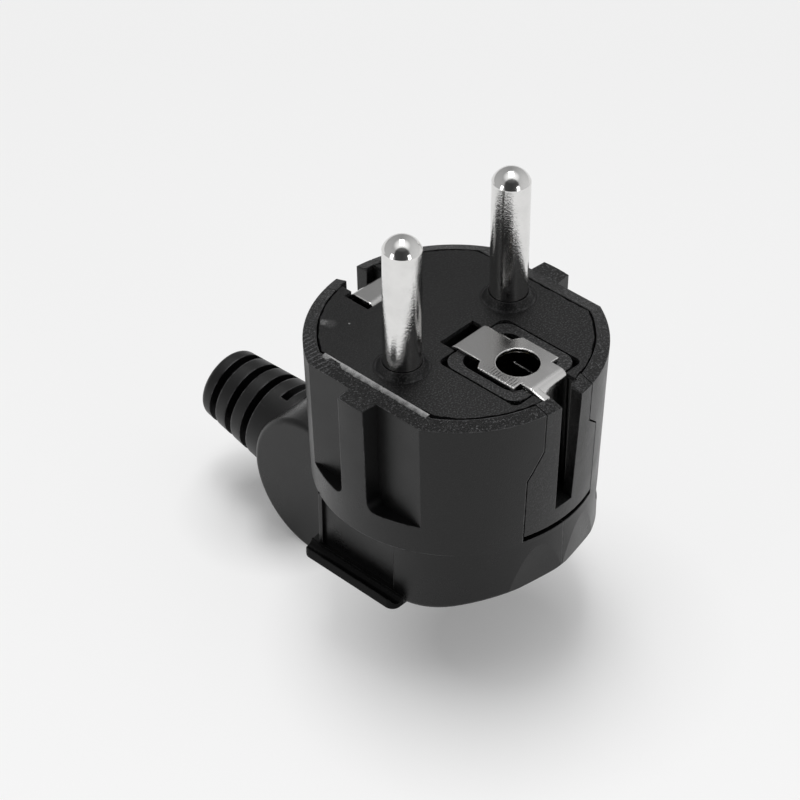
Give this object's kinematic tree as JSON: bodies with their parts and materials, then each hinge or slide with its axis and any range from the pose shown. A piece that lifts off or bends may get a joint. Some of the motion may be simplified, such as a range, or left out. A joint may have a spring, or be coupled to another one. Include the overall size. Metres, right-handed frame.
{
  "type": "type f plug",
  "caption": "Right-angle mains plug in black plastic with round metal pins, sprung earth contacts in side slots, an earth socket hole in the face and a slotted cable boot.",
  "frame": {"origin": "middle between the two contact pins, at the engagement face", "axes": "+X from the left pin to the right pin, +Y towards the rear earth slot and the cable outlet, +Z out of the face along the pins"},
  "size_m": [0.0373, 0.0608, 0.0607],
  "materials": {
    "shell_plastic": "fine moulded grain",
    "carrier_plastic": "fine moulded grain",
    "boot_rubber": "satin",
    "pin_nickel": "bright nickel plating",
    "earth_strip": "bright rolled strip",
    "bridge_brass": "satin",
    "screw_steel": "zinc plated"
  },
  "bodies": {
    "root": {"left_shell": "shell_plastic", "right_shell": "shell_plastic", "housing_screws": "screw_steel", "contact_carrier": "carrier_plastic", "earth_well_frame": "carrier_plastic", "contact_pin_left": "pin_nickel", "contact_pin_right": "pin_nickel", "pin_terminal_screws": "screw_steel", "earth_contact_front": "earth_strip", "earth_contact_rear": "earth_strip", "earth_bridge": "bridge_brass", "earth_socket_spring": "earth_strip", "front_rivet": "bridge_brass", "rear_rivet": "bridge_brass", "earth_terminal_screw": "screw_steel", "earth_clamp_washer": "screw_steel", "earth_terminal_nut": "bridge_brass", "cord_clamp": "carrier_plastic", "cord_clamp_screws": "screw_steel", "cable_boot": "boot_rubber"}
  },
  "joints": []
}
